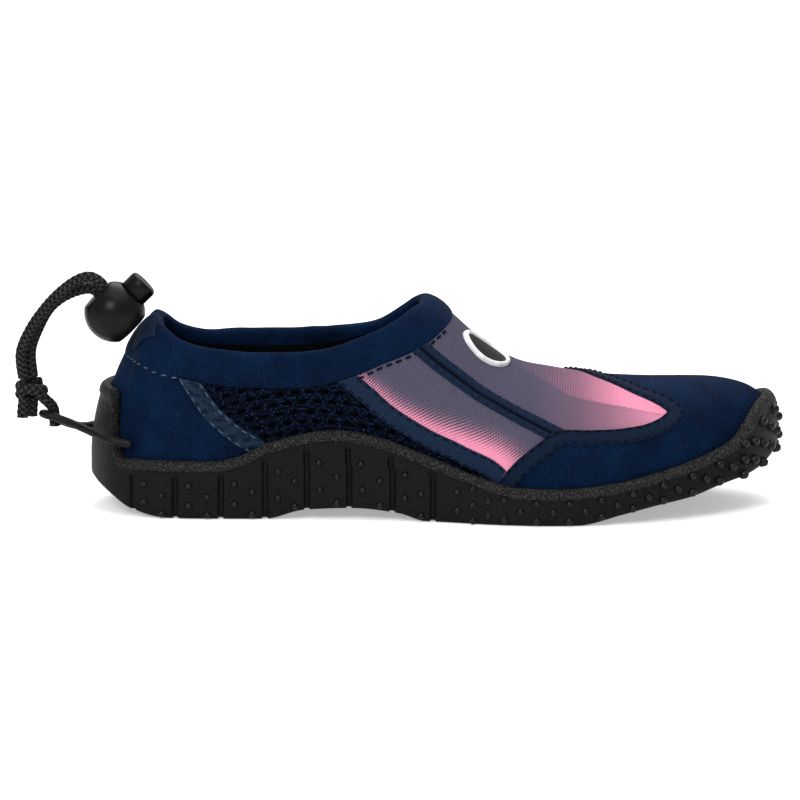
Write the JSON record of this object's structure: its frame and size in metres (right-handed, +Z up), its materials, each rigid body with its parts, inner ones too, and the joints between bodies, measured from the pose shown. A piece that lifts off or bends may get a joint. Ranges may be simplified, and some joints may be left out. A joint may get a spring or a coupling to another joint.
{
  "type": "water shoe",
  "caption": "Right water shoe with a rubber cup sole, stretch fabric upper, padded collar, and a drawcord with a spring cord lock.",
  "frame": {"origin": "on the ground, under the middle of the sole's length", "axes": "+X to the toe, +Y to the inner side of the foot, +Z up"},
  "size_m": [0.2763, 0.0955, 0.088],
  "materials": {
    "rubber": "matte moulded, lightly scuffed",
    "insole_foam": "matte foam with a knit cover",
    "upper_fabric": "stretch knit, matte",
    "neoprene": "jersey-faced neoprene, matte",
    "seam_tape": "ribbed, satin",
    "webbing": "worn ribbed webbing, matte",
    "badge_ring_print": "satin print",
    "badge_field_print": "satin print",
    "lock_plastic": "matte moulded",
    "braided_cord": "round braid, matte",
    "smooth_strap": "smooth, satin"
  },
  "bodies": {
    "shoe": {"outsole": "rubber", "insole": "insole_foam", "upper": "upper_fabric", "collar": "neoprene", "vamp_tape_lateral": "seam_tape", "vamp_tape_medial": "seam_tape", "side_tape_lateral": "seam_tape", "side_tape_medial": "seam_tape", "heel_tape_lateral": "webbing", "heel_tape_medial": "webbing", "toe_tape": "seam_tape", "cord_tunnel": "webbing", "badge_ring": "badge_ring_print", "badge_field": "badge_field_print", "cord_lock_ball": "lock_plastic", "drawcord_outer": "braided_cord", "drawcord_inner": "braided_cord", "drawcord_tail_outer": "braided_cord", "drawcord_tail_inner": "braided_cord", "drawcord_bight": "braided_cord", "drawcord_knot": "braided_cord", "heel_tether": "smooth_strap"},
    "lock_button": {"cord_lock_plunger": "lock_plastic"}
  },
  "joints": [
    {"name": "lock_press", "type": "slide", "parent": "shoe", "child": "lock_button", "axis": [-0.7091, 0, -0.7051], "range_m": [0, 0.004], "stiffness_N_per_m": 600}
  ]
}
